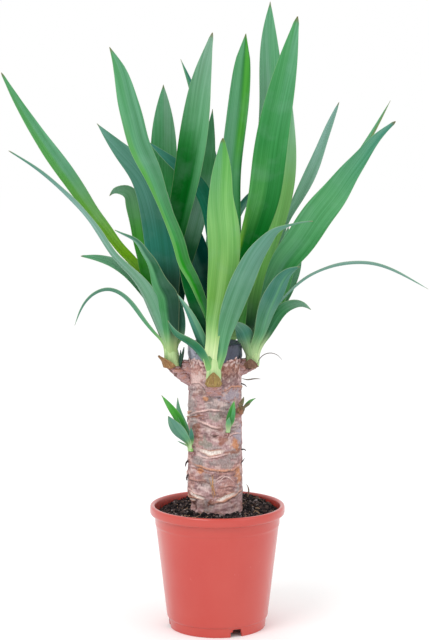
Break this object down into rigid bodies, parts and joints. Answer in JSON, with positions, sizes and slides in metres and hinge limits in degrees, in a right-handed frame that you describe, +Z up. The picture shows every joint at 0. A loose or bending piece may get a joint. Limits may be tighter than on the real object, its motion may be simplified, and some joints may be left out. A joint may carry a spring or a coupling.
{
  "type": "potted yucca",
  "caption": "Cane yucca in a round plastic nursery pot: a thick bare trunk with sword-leaved heads on short stubs and young shoots on its side.",
  "frame": {"origin": "middle of the box's underside, at the pot's axis on the surface that it stands on", "axes": "+Z up along the trunk, +X to the viewer's right, -Y towards the viewer of the picture"},
  "size_m": [0.439, 0.2729, 0.6471],
  "materials": {
    "pot": "satin",
    "soil": "matte",
    "bark": "matte",
    "wax": "satin",
    "leaf": "satin",
    "sheath": "matte"
  },
  "bodies": {
    "root": {"pot": "pot", "soil": "soil", "cane": "bark", "wax_cap": "wax", "head_left": "leaf", "head_front": "leaf", "head_right": "leaf", "head_back": "leaf", "shoot_left": "leaf", "shoot_front": "leaf", "bud_right": "sheath", "bract_left": "sheath", "bract_front": "sheath", "bract_right": "sheath"}
  },
  "joints": []
}
